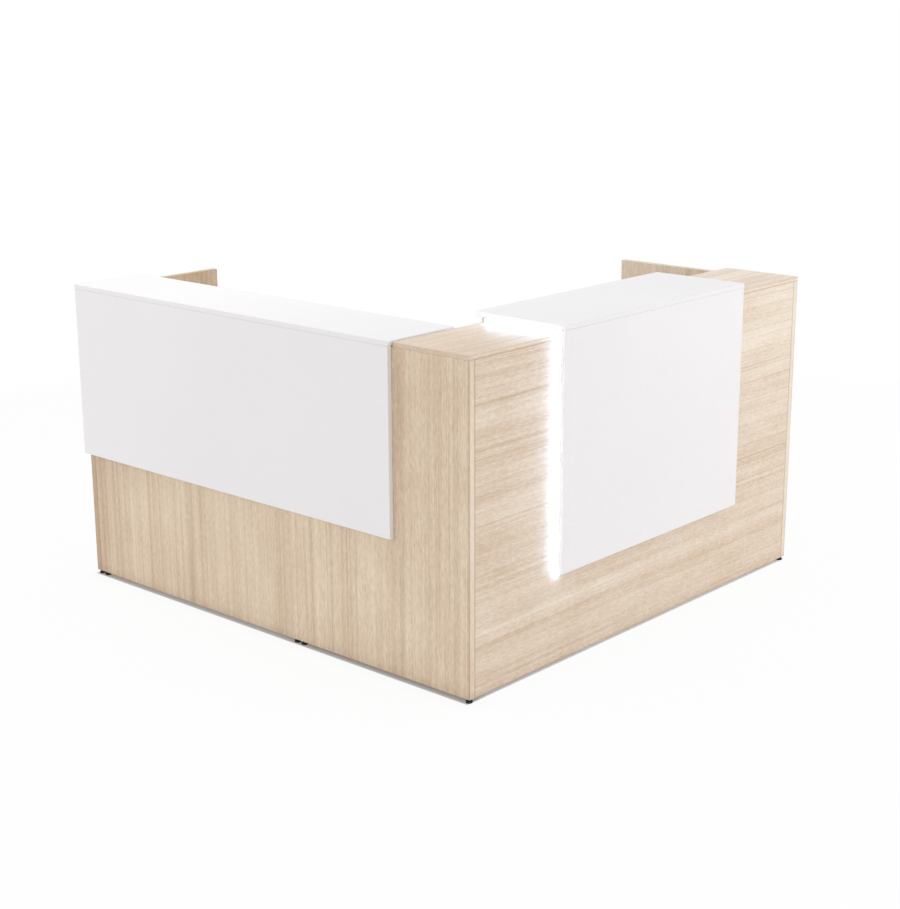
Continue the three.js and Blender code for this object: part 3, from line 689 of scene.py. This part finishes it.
def turned(form, profile, place, closed=False):
    """Adds a turned form: rings of radius, height and outline about the Z axis of its place.

    A closed profile joins its last ring to its first, as round a bore. Other forms get flat ends.
    """
    rings = []
    for radius, height, outline in profile:
        ring = []
        for step in range(ROUND_SIDES):
            angle = 2 * math.pi * step / ROUND_SIDES
            reach = radius * outline(angle)
            point = Vector((reach * math.cos(angle), reach * math.sin(angle), height))
            ring.append(form.verts.new(place @ point))
        rings.append(ring)
    pairs = list(zip(rings, rings[1:]))
    if closed:
        pairs.append((rings[-1], rings[0]))
    else:
        form.faces.new(rings[0])
        form.faces.new(rings[-1])
    for lower, upper in pairs:
        for step in range(ROUND_SIDES):
            after = (step + 1) % ROUND_SIDES
            form.faces.new((lower[step], lower[after], upper[after], upper[step]))


def standing(point, axis=Z, sign=1):
    """A place at a point, whose Z axis runs along one of the desk's axes."""
    outward = Vector((0.0, 0.0, 0.0))
    outward[axis] = sign
    return Matrix.Translation(point) @ outward.to_track_quat("Z", "Y").to_matrix().to_4x4()


def ease_edges(form, edges, ease):
    """Rounds some edges of a form."""
    rounding = {"segments": ROUND_STEPS, "profile": BEVEL_PROFILE, "affect": "EDGES"}
    bmesh.ops.bevel(form, geom=edges, offset=ease, **rounding)


def eased_block(form, low, high, ease):
    """Adds a block with rounded edges."""
    corners = bmesh.ops.create_cube(form, size=1.0)["verts"]
    middle = (low + high) / 2
    size = high - low
    for corner in corners:
        corner.co = middle + corner.co * size
    ease_edges(form, list(dict.fromkeys(edge for corner in corners for edge in corner.link_edges)), ease)


def eased_copy(form, node, ease):
    """Adds a CAD node's own form with its sharp edges rounded."""
    form.from_mesh(NODES[node].data)
    bmesh.ops.remove_doubles(form, verts=form.verts, dist=WELD_GAP)
    bmesh.ops.dissolve_limit(form, angle_limit=FLAT_ANGLE, verts=form.verts, edges=form.edges)
    ease_edges(form, [edge for edge in form.edges if edge.calc_face_angle(0.0) > SHARP_ANGLE], ease)


def add_piece(name, form, body, slot, material, *replaced):
    """Makes a piece from a filled mesh, smooth except at sharp edges, that rides on a body of the desk."""
    bmesh.ops.recalc_face_normals(form, faces=form.faces)
    mesh = bpy.data.meshes.new(name)
    form.to_mesh(mesh)
    form.free()
    mesh.shade_smooth()
    mesh.set_sharp_from_angle(angle=SHARP_ANGLE)
    mesh.materials.append(material)
    piece = bpy.data.objects.new(name, mesh)
    bpy.context.scene.collection.objects.link(piece)
    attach(piece, body)
    if replaced:
        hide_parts(*replaced)


def add_feet(black, steel):
    """A levelling foot is a fluted pad with a hexagon collar for the spanner, on a threaded stud."""
    for foot in [name for name in NODES if name.startswith("foot_")]:
        low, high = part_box(foot)
        radius = (high.x - low.x) / 2
        place = standing(((low.x + high.x) / 2, (low.y + high.y) / 2, low.z))
        pad = bmesh.new()
        turned(pad, (
            (FOOT_PAD_FACE * radius, 0.0, round_rim),
            (FOOT_PAD_SHOULDER * radius, FOOT_PAD_SHOULDER_HEIGHT, round_rim),
            (radius, FOOT_PAD_RIM_HEIGHT, fluted),
            (radius, FOOT_PAD_HEIGHT - FOOT_PAD_RIM_HEIGHT, fluted),
            (FOOT_PAD_SHOULDER * radius, FOOT_PAD_HEIGHT - FOOT_PAD_SHOULDER_HEIGHT, round_rim),
            (FOOT_PAD_FACE * radius, FOOT_PAD_HEIGHT, round_rim),
            (FOOT_COLLAR_RADIUS, FOOT_PAD_HEIGHT, hexagon),
            (FOOT_COLLAR_RADIUS, FOOT_COLLAR_TOP - FOOT_COLLAR_CHAMFER, hexagon),
            (FOOT_COLLAR_FACE * FOOT_COLLAR_RADIUS, FOOT_COLLAR_TOP, hexagon),
        ), place)
        add_piece(f"{foot}_pad", pad, foot, "black_plastic", black, foot)
        thread = []
        turns = round((high.z - low.z - FOOT_COLLAR_TOP) / THREAD_PITCH)
        for turn in range(turns):
            height = FOOT_COLLAR_TOP + turn * THREAD_PITCH
            thread.append((STUD_RADIUS - THREAD_DEPTH, height, round_rim))
            thread.append((STUD_RADIUS, height + THREAD_PITCH / 2, round_rim))
        thread.append((STUD_RADIUS - THREAD_DEPTH, high.z - low.z, round_rim))
        stud = bmesh.new()
        turned(stud, thread, place)
        add_piece(f"{foot}_stud", stud, foot, "bracket_steel", steel)


def add_grommet(side, grey):
    """A cable grommet is a flanged sleeve in the worktop and a turning cap with a slot in its rim."""
    ring_low, ring_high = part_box(f"{side}_grommet_ring")
    cap_low, cap_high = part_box(f"{side}_grommet_cap")
    middle = (ring_low + ring_high) / 2
    flange = (ring_high.x - ring_low.x) / 2
    cap_radius = (cap_high.y - cap_low.y) / 2
    recess = cap_radius + SEAM
    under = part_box(f"{side}_worktop")[1].z + SEAM
    top = ring_high.z
    passage = recess - GROMMET_LEDGE
    sleeve = recess + GROMMET_WALL
    profile = [
        (passage, ring_low.z, round_rim),
        (sleeve, ring_low.z, round_rim),
        (sleeve, under, round_rim),
        (flange, under, round_rim),
        *quarter_round(flange - GROMMET_ROUND, top - GROMMET_ROUND, GROMMET_ROUND, 0.0),
        *quarter_round(recess + GROMMET_LIP, top - GROMMET_LIP, GROMMET_LIP, math.pi / 2),
        (recess, cap_low.z - SEAM, round_rim),
        (passage, cap_low.z - SEAM, round_rim),
    ]
    ring = bmesh.new()
    turned(ring, profile, Matrix.Translation((middle.x, middle.y, 0.0)), closed=True)
    add_piece(f"{side}_grommet_collar", ring, "desk", "grey_plastic", grey, f"{side}_grommet_ring")
    cap = bmesh.new()
    eased_copy(cap, f"{side}_grommet_cap", GROMMET_LIP)
    body = f"{side}_grommet_turn"
    add_piece(f"{side}_grommet_lid", cap, body, "grey_plastic", grey, f"{side}_grommet_cap")


def screw(form, point, axis, sign):
    """Adds the pan head of a screw with a hexagon socket, seated on a face."""
    profile = []
    for shares, outline in ((SCREW_HEAD, round_rim), (SCREW_SOCKET, hexagon)):
        for radius, height in shares:
            profile.append((radius * SCREW_RADIUS, height * SCREW_HEIGHT, outline))
    turned(form, profile, standing(point, axis, sign))


def add_screws(steel):
    """Screws hold both legs of each angle bracket, and each cleat along its open side."""
    for node, signs in BRACKET_LEGS.items():
        low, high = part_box(node)
        heel = [low[axis] if signs[axis] > 0 else high[axis] for axis in (X, Y)]
        heads = bmesh.new()
        for height in BRACKET_SCREW_HEIGHTS:
            for axis in (X, Y):
                along = 1 - axis
                point = Vector((0.0, 0.0, low.z + height))
                point[axis] = heel[axis] + signs[axis] * BRACKET_THICKNESS
                point[along] = heel[along] + signs[along] * BRACKET_SCREW_REACH
                screw(heads, point, axis, signs[axis])
        add_piece(f"{node}_screws", heads, "desk", "bracket_steel", steel)
    for node, (axis, sign) in CLEAT_FACES.items():
        low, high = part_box(node)
        along = axis_by_size(node, max)
        length = high[along] - low[along]
        count = max(CLEAT_SCREWS_LEAST, round(length / CLEAT_SCREW_SPACING) + 1)
        heads = bmesh.new()
        for index in range(count):
            point = (low + high) / 2
            point[axis] = high[axis] if sign > 0 else low[axis]
            share = (index / (count - 1) - 0.5) * (1.0 - 2 * CLEAT_SCREW_INSET / length)
            point[along] += share * length
            screw(heads, point, axis, sign)
        add_piece(f"{node}_screws", heads, "desk", "bracket_steel", steel)


def add_supply(white, black):
    """The pieces that feed the light line: driver, mains gland and switch."""
    add_driver(white)
    add_gland(black)
    housing = bmesh.new()
    eased_copy(housing, "switch_housing", SWITCH_CASE_EASE)
    add_piece("switch_case", housing, "desk", "white_plastic", white, "switch_housing")
    rocker = bmesh.new()
    eased_copy(rocker, "switch_rocker", SWITCH_KEY_EASE)
    add_piece("switch_key", rocker, "rocker", "black_plastic", black, "switch_rocker")


def add_driver(white):
    """The light's driver is a tray under a ribbed lid."""
    low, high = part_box("light_driver")
    case = bmesh.new()
    seam_x = low.x + DRIVER_LID
    eased_block(case, Vector((seam_x, low.y, low.z)), high, DRIVER_EASE)
    lid_low = Vector((low.x + DRIVER_RIB, low.y + DRIVER_STEP, low.z + DRIVER_STEP))
    lid_high = Vector((seam_x + DRIVER_EASE, high.y - DRIVER_STEP, high.z - DRIVER_STEP))
    eased_block(case, lid_low, lid_high, DRIVER_EASE)
    for index in range(DRIVER_RIBS):
        middle = low.y + (high.y - low.y) * (index + 1) / (DRIVER_RIBS + 1)
        inset = DRIVER_EASE + DRIVER_RIB
        rib_low = Vector((low.x, middle - DRIVER_RIB, lid_low.z + inset))
        rib_high = Vector((lid_low.x + DRIVER_RIB, middle + DRIVER_RIB, lid_high.z - inset))
        eased_block(case, rib_low, rib_high, DRIVER_RIB_EASE)
    add_piece("light_driver_case", case, "desk", "white_plastic", white, "light_driver")


def add_gland(black):
    """The mains gland is a hexagon nut on a ribbed sleeve, with a bore for the cord."""
    low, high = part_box("mains_gland")
    nut = (high.x - low.x) / 2
    length = high.y - low.y
    middle = (low + high) / 2
    profile = [
        (GLAND_BORE, 0.0, round_rim),
        (nut, 0.0, hexagon),
        (nut, GLAND_NUT - GLAND_NUT_CHAMFER, hexagon),
        (GLAND_NUT_FACE * nut, GLAND_NUT, hexagon),
    ]
    root = GLAND_SLEEVE * nut
    rib_length = GLAND_RIB_SHARE * (length - GLAND_NUT) / GLAND_RIBS
    for index in range(GLAND_RIBS):
        share = index / GLAND_RIBS
        start = GLAND_NUT + share * (length - GLAND_NUT)
        radius = root + share * (GLAND_TIP - root)
        profile.append((radius - GLAND_GROOVE, start, round_rim))
        profile.append((radius, start + GLAND_RIB_SLOPE, round_rim))
        profile.append((radius, start + rib_length, round_rim))
    profile.append((GLAND_TIP - GLAND_GROOVE, length, round_rim))
    profile.append((GLAND_BORE, length, round_rim))
    gland = bmesh.new()
    turned(gland, profile, standing((middle.x, low.y, middle.z), Y), closed=True)
    add_piece("mains_gland_nut", gland, "desk", "black_plastic", black, "mains_gland")


def wing_areas():
    """The lowest and highest corners of the floor behind each wing's front, open on the staff's side.

    The floor's painted whiteness reaches some way in under the right front, for the light from the right.
    """
    left_low, left_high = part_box("left_end_panel")
    right_low, right_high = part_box("right_end_panel")
    front_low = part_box("left_front_panel")[0]
    right_edge = right_high.x - LIT_DEPTH
    yield (left_low.x, front_low.y), (right_edge, left_high.y + OPEN_REACH)
    yield (right_low.x - OPEN_REACH, front_low.y), (right_edge, right_high.y)


def board_areas(nodes):
    """The lowest and highest corners of the floor under each board that stands on it.

    The shade of an end panel stops short of its back edge, where it is to have faded out.
    """
    for node in nodes:
        low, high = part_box(node)
        if low.z < FLOOR_BOARD_HEIGHT:
            start = low.x + INNER_FADE if node == "right_end_panel" else low.x
            end = high.y - INNER_FADE if node == "left_end_panel" else high.y
            yield (start, low.y), (high.x, end)


def area_gap(finish, place, areas, margin):
    """The distance from a point of the floor to the nearest of some areas, each grown by a margin."""
    nearest = None
    for low, high in areas:
        middle = ((low[X] + high[X]) / 2, (low[Y] + high[Y]) / 2, 0.0)
        half = ((high[X] - low[X]) / 2 + margin, (high[Y] - low[Y]) / 2 + margin, 0.0)
        off_middle = finish.vector("ABSOLUTE", finish.vector("SUBTRACT", place, middle))
        gap = finish.length(finish.vector("MAXIMUM", finish.vector("SUBTRACT", off_middle, half)))
        nearest = finish.math("MINIMUM", nearest, gap) if nearest else gap
    return nearest


def add_floor():
    mesh = bpy.data.meshes.new("floor")
    half = FLOOR_SIZE / 2
    corners = [(-half, -half, 0.0), (half, -half, 0.0), (half, half, 0.0), (-half, half, 0.0)]
    mesh.from_pydata(corners, [], [(0, 1, 2, 3)])
    floor = bpy.data.objects.new("floor", mesh)
    bpy.context.scene.collection.objects.link(floor)
    finish = Finish("floor")
    finish.set(Roughness=FLOOR_ROUGHNESS, Specular_IOR_Level=0.0)
    rays = finish.node("ShaderNodeLightPath").outputs
    place = finish.place["Object"]
    # Painted shade: the floor's colour darkens near the left fronts, for their contact shadow
    front_gap = area_gap(finish, place, board_areas(("left_front_panel", "corner_front_panel")), 0.0)
    painted_floor_shade = finish.remap(front_gap, 0.0, FLOOR_PAINTED_SHADE_REACH)
    finish.set(Base_Color=finish.mix(painted_floor_shade, opaque(FLOOR_PAINTED_SHADE), opaque(FLOOR_COLOUR)))
    wing_gap = area_gap(finish, place, wing_areas(), SHADE_MARGIN)
    outside = finish.remap(wing_gap, 0.0, SHADE_FADE, 0.0, NEAR_WHITENESS)
    board_gap = area_gap(finish, place, board_areas(WOOD_BOARDS), 0.0)
    inside = finish.remap(board_gap, 0.0, INNER_FADE, SHADE_WHITENESS, NEAR_WHITENESS)
    far = finish.remap(finish.length(place), *FAR_FADE)
    whiteness = finish.math("MAXIMUM", finish.math("MAXIMUM", inside, outside), far)
    seen = finish.math("MULTIPLY", seen_by_eye(finish, rays), whiteness)
    white = finish.node("ShaderNodeEmission", {"Color": WHITE, "Strength": 1.0}).outputs[0]
    parts = {0: seen, 1: finish.surface.outputs[0], 2: white}
    mixed = finish.node("ShaderNodeMixShader", parts).outputs[0]
    finish.plug(finish.tree.nodes["Material Output"].inputs["Surface"], mixed)
    mesh.materials.append(finish.material)


def seen_by_eye(builder, rays):
    """1 for rays that the camera sees directly, in a mirror or through glass, and 0 for lighting."""
    seen = builder.math("MAXIMUM", rays["Is Camera Ray"], rays["Is Glossy Ray"])
    return builder.math("MAXIMUM", seen, rays["Is Transmission Ray"])


class WorldTree(Finish):
    """The world's nodes, built with the same methods as a material's."""

    def __init__(self):
        world = bpy.data.worlds.new("studio")
        world.use_nodes = True
        bpy.context.scene.world = world
        self.tree = world.node_tree
        self.surface = self.tree.nodes["Background"]


def light_studio():
    world = WorldTree()
    world.set(Color=WHITE, Strength=WORLD_STRENGTH)
    rays = world.node("ShaderNodeLightPath").outputs
    white = world.node("ShaderNodeBackground", {"Color": WHITE, "Strength": 1.0}).outputs[0]
    parts = {0: seen_by_eye(world, rays), 1: world.surface.outputs[0], 2: white}
    mixed = world.node("ShaderNodeMixShader", parts).outputs[0]
    world.plug(world.tree.nodes["World Output"].inputs["Surface"], mixed)
    for name, (place, aim, width, power) in LAMPS.items():
        lamp = bpy.data.lights.new(name, "AREA")
        lamp.size = width
        lamp.energy = power
        holder = bpy.data.objects.new(name, lamp)
        holder.location = place
        holder.rotation_euler = (Vector(aim) - Vector(place)).to_track_quat("-Z", "Y").to_euler()
        bpy.context.scene.collection.objects.link(holder)


def add_camera():
    forward = Vector((
        -math.sin(CAMERA_AZIMUTH) * math.cos(CAMERA_PITCH),
        math.cos(CAMERA_AZIMUTH) * math.cos(CAMERA_PITCH),
        -math.sin(CAMERA_PITCH),
    ))
    level = Vector((math.cos(CAMERA_AZIMUTH), math.sin(CAMERA_AZIMUTH), 0.0))
    upright = level.cross(forward)
    right = math.cos(CAMERA_ROLL) * level + math.sin(CAMERA_ROLL) * upright
    up = math.cos(CAMERA_ROLL) * upright - math.sin(CAMERA_ROLL) * level
    lens = bpy.data.cameras.new("camera")
    lens.sensor_width = CAMERA_SENSOR
    lens.lens = CAMERA_LENS
    camera = bpy.data.objects.new("camera", lens)
    camera.matrix_world = Matrix((right, up, -forward)).transposed().to_4x4()
    camera.location = CAMERA_PLACE
    bpy.context.scene.collection.objects.link(camera)
    bpy.context.scene.camera = camera


dress_boards()
dress_fittings()
add_floor()
light_studio()
add_camera()
bpy.context.scene.view_settings.view_transform = "Standard"
